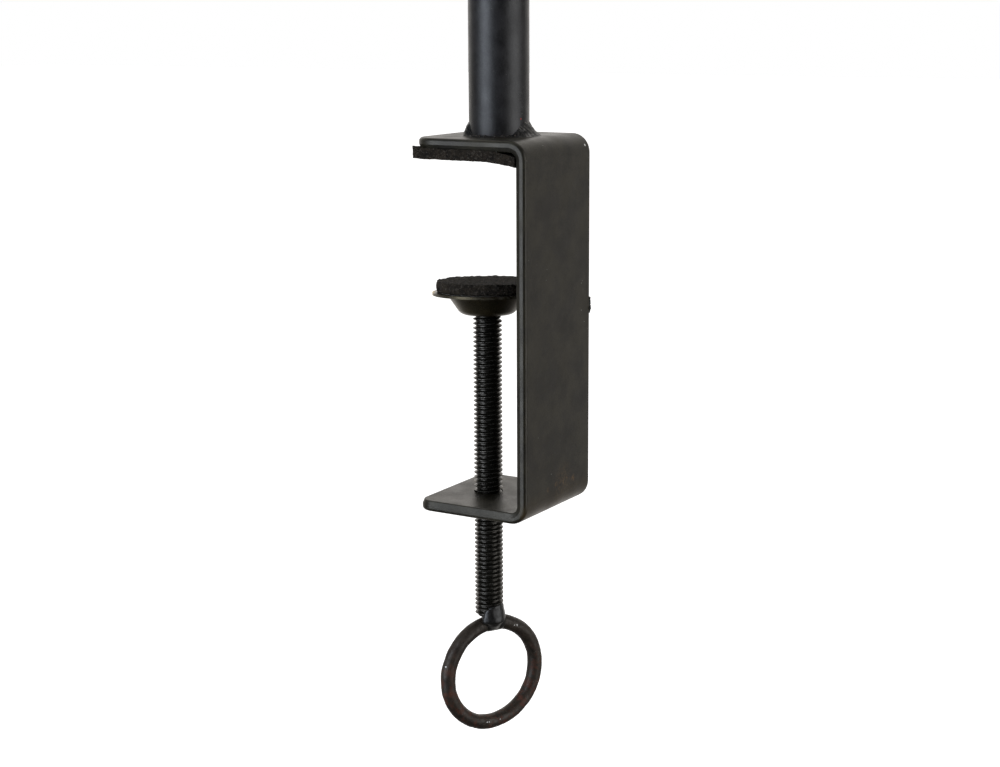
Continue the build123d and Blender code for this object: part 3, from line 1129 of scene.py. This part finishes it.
def make_lower_pad():
    """Foam disc with open cells."""
    grain = sizes().foam_grain
    rings, sides, around = 34, 12, 240
    shape = bmesh.new()
    inner = [DISC_RADIUS * k / rings for k in range(rings)]
    profile = [(reach, 0.0) for reach in inner]
    for k in range(sides + 1):
        t = k / sides
        bulge = 0.22 * MM * math.sin(math.pi * t) - 0.10 * MM * (2 * t - 1) ** 2
        profile.append((DISC_RADIUS + bulge, DISC_THICKNESS * t))
    profile += [(reach, DISC_THICKNESS) for reach in reversed(inner)]
    rows = []
    for reach, level in profile:
        if reach == 0.0:
            rows.append([shape.verts.new(up(level))] * around)
            continue
        row = []
        for k in range(around):
            way = level_way(math.tau * k / around)
            # Cut by hand, so the outline wanders a little
            cut = rough(way * 6.0, 1.0, 3) * 0.28 * MM * smoothstep(0.7, 1.0, reach / DISC_RADIUS)
            crown = rough(way * reach, 7 * MM, 2) * 0.10 * MM if level > DISC_THICKNESS / 2 else 0
            row.append(shape.verts.new(way * (reach + cut) + up(level + crown)))
        rows.append(row)
    grid_faces(shape, rows, closed_across=True)
    face_outwards(shape)
    shape.normal_update()
    moves = []
    for vert in shape.verts:
        spot = vert.co
        if vert.normal.z < -0.9 or spot.z < 0.05 * MM:
            moves.append(Vector())
            continue
        wave = rough(spot, 1.5 * MM, 3) * grain * 1.1
        # The upper edge stands up in small tatters
        edge = smoothstep(0.8 * MM, 0.0, DISC_RADIUS - Vector((spot.x, spot.y)).length)
        edge *= smoothstep(DISC_THICKNESS - 0.7 * MM, DISC_THICKNESS, spot.z)
        tatter = rough(spot, 1.2 * MM, 3) * 0.34 * MM * edge
        moves.append(vert.normal * (foam_pit(spot, grain) + wave) + up(min(tatter, 0.12 * MM)))
    for vert, move in zip(shape.verts, moves):
        vert.co += move
    tilt = Matrix.Rotation(-CUP_LEAN, 4, CUP_AXIS)
    place = Matrix.Translation(CUP_PIVOT) @ tilt @ Matrix.Translation(up(DISC_LIFT))
    bmesh.ops.transform(shape, matrix=place, verts=shape.verts)
    piece = add_piece("lower_pad", shape, "cup", foam_rubber(), ["lower_foam_pad"])


class CLAMP_OT_lower_pad(bpy.types.Operator):
    """Makes the foam disc on the pressure cup"""

    bl_idname = "clamp.lower_pad"
    bl_label = "Lower Foam Pad"

    def execute(self, context):
        make_lower_pad()
        return {"FINISHED"}


class CLAMP_OT_finishes(bpy.types.Operator):
    """Gives the bracket, post, cup, bush, washer and tapes their finishes"""

    bl_idname = "clamp.finishes"
    bl_label = "Finishes"

    def execute(self, context):
        use_finish(bracket_coat(), "clamp_bracket")
        use_finish(post_coat(), "post_tube")
        use_finish(cup_coat(), "pressure_cup")
        use_finish(tape_film(), "upper_pad_tape", "lower_pad_tape")
        use_finish(zinc_plate(), "thrust_washer")
        use_finish(nylon_bush(), "socket_bush")
        return {"FINISHED"}


# ---- stage


def soft_light(name, heading, height, distance, width, tall, power, colour):
    """Adds a large soft light that points at the clamp; heading is counted from the camera."""
    data = bpy.data.lights.new(name, "AREA")
    data.shape = "RECTANGLE"
    data.size, data.size_y = width, tall
    data.energy = power
    data.color = colour
    lamp = place_object(name, data)
    turn = math.radians(CAMERA_HEADING + heading)
    lamp.location = LIGHT_AIM + Vector((math.sin(turn) * distance, -math.cos(turn) * distance, height))
    lamp.rotation_mode = "QUATERNION"
    lamp.rotation_quaternion = (LIGHT_AIM - lamp.location).to_track_quat("-Z", "Y")
    lamp.visible_camera = False


def add_camera(scene):
    """Camera that looks at the clamp from its near side, a little from above."""
    heading, rise = math.radians(CAMERA_HEADING), math.radians(CAMERA_ELEVATION)
    flat = Vector((math.sin(heading), -math.cos(heading), 0))
    back = flat * math.cos(rise) + up(math.sin(rise))
    right = level_way(heading)
    over = back.cross(right)
    roll = math.radians(CAMERA_ROLL)
    x_axis = right * math.cos(roll) + over * math.sin(roll)
    y_axis = over * math.cos(roll) - right * math.sin(roll)
    data = bpy.data.cameras.new("camera")
    data.lens = CAMERA_LENS
    data.sensor_width = 36.0
    data.clip_start, data.clip_end = 0.01, 100.0
    camera = place_object("camera", data)
    pose = Matrix((x_axis, y_axis, back)).transposed().to_4x4()
    camera.matrix_world = Matrix.Translation(CAMERA_TARGET + back * CAMERA_DISTANCE) @ pose
    scene.camera = camera


def add_surroundings(scene):
    """Room that is dark on the camera's side and bright behind the clamp, and seen as plain white."""
    heading = math.radians(CAMERA_HEADING)
    world = bpy.data.worlds.new("studio")
    scene.world = world
    world.use_nodes = True
    tree = world.node_tree
    add, join = tree.nodes.new, tree.links.new
    background = tree.nodes["Background"]
    place = add("ShaderNodeTexCoord").outputs["Generated"]
    facing = add("ShaderNodeVectorMath")
    facing.operation = "DOT_PRODUCT"
    facing.inputs[1].default_value = (-math.sin(heading), math.cos(heading), 0.0)
    join(place, facing.inputs[0])
    ramp = add("ShaderNodeValToRGB")
    shift = add("ShaderNodeMapRange")
    shift.inputs["From Min"].default_value = -1.0
    shift.inputs["From Max"].default_value = 1.0
    join(facing.outputs["Value"], shift.inputs["Value"])
    join(shift.outputs["Result"], ramp.inputs["Fac"])
    stops = ((0.0, 0.02), (0.35, 0.06), (0.66, 0.15), (0.80, 0.48), (0.93, 1.2))
    while len(ramp.color_ramp.elements) < len(stops):
        ramp.color_ramp.elements.new(0.5)
    for element, (position, level) in zip(ramp.color_ramp.elements, stops):
        element.position = position
        element.color = (level, level * 0.965, level * 0.925, 1.0)
    seen = add("ShaderNodeLightPath").outputs["Is Camera Ray"]
    mix = add("ShaderNodeMix")
    mix.data_type = "RGBA"
    join(seen, mix.inputs["Factor"])
    join(ramp.outputs["Color"], mix.inputs[6])
    mix.inputs[7].default_value = (1.0, 1.0, 1.0, 1.0)
    join(mix.outputs[2], background.inputs["Color"])
    background.inputs["Strength"].default_value = 1.0


def add_floor(level):
    """Pale floor well below the ring."""
    reach = 12.0
    shape = bmesh.new()
    corners = ((-reach, -reach), (reach, -reach), (reach, reach), (-reach, reach))
    shape.faces.new([shape.verts.new((x, y, level)) for x, y in corners])
    mesh = mesh_from(shape, "floor")
    floor = place_object("floor", mesh)
    mesh.materials.append(pale_floor())
    floor.visible_glossy = False
    floor.visible_diffuse = False


def make_stage():
    """Camera, lights, surroundings and floor."""
    setting = lights()
    scene = bpy.context.scene
    scene.view_settings.view_transform = "Standard"
    add_camera(scene)
    cool, neutral, white = (0.82, 0.89, 1.0), (0.98, 0.985, 1.0), (1.0, 1.0, 1.0)
    soft_light("soft_light_left", -53, 0.10, 1.2, 0.75, 1.3, setting.left_power, cool)
    soft_light("soft_light_right", 63, 0.10, 1.2, 0.95, 1.3, setting.right_power, neutral)
    soft_light("soft_light_top", 180, 1.3, 0.25, 1.2, 1.2, setting.top_power, white)
    add_surroundings(scene)
    add_floor(low("ring_handle").z - setting.floor_drop)


class CLAMP_OT_stage(bpy.types.Operator):
    """Makes the camera, the soft lights, the surroundings and the floor"""

    bl_idname = "clamp.stage"
    bl_label = "Stage"

    def execute(self, context):
        make_stage()
        return {"FINISHED"}


# ---- panel and run

OPERATORS = (
    CLAMP_OT_stage,
    CLAMP_OT_finishes,
    CLAMP_OT_spindle,
    CLAMP_OT_ring,
    CLAMP_OT_ring_weld,
    CLAMP_OT_post_welds,
    CLAMP_OT_burr,
    CLAMP_OT_upper_pad,
    CLAMP_OT_lower_pad,
)


class CLAMP_PT_panel(bpy.types.Panel):
    """Lists the clamp's settings and its operators"""

    bl_idname = "CLAMP_PT_panel"
    bl_label = "Lamp Clamp"
    bl_space_type = "VIEW_3D"
    bl_region_type = "UI"
    bl_category = "Lamp Clamp"

    def draw(self, context):
        layout = self.layout
        scene = context.scene
        for group in (scene.clamp_sizes, scene.clamp_colours, scene.clamp_lights):
            box = layout.box()
            for name in group.__annotations__:
                box.prop(group, name)
        for operator in OPERATORS:
            layout.operator(operator.bl_idname)


CLASSES = (ClampSizes, ClampColours, StudioLights, *OPERATORS, CLAMP_PT_panel)


def register():
    """Registers the classes and the settings."""
    for each in CLASSES:
        bpy.utils.register_class(each)
    bpy.types.Scene.clamp_sizes = PointerProperty(type=ClampSizes)
    bpy.types.Scene.clamp_colours = PointerProperty(type=ClampColours)
    bpy.types.Scene.clamp_lights = PointerProperty(type=StudioLights)


def unregister():
    """Removes the settings and the classes."""
    del bpy.types.Scene.clamp_lights
    del bpy.types.Scene.clamp_colours
    del bpy.types.Scene.clamp_sizes
    for each in reversed(CLASSES):
        bpy.utils.unregister_class(each)


def main():
    """Makes everything in order."""
    register()
    for operator in OPERATORS:
        group, name = operator.bl_idname.split(".")
        getattr(getattr(bpy.ops, group), name)()
    bpy.context.view_layer.update()


if __name__ == "__main__":
    main()
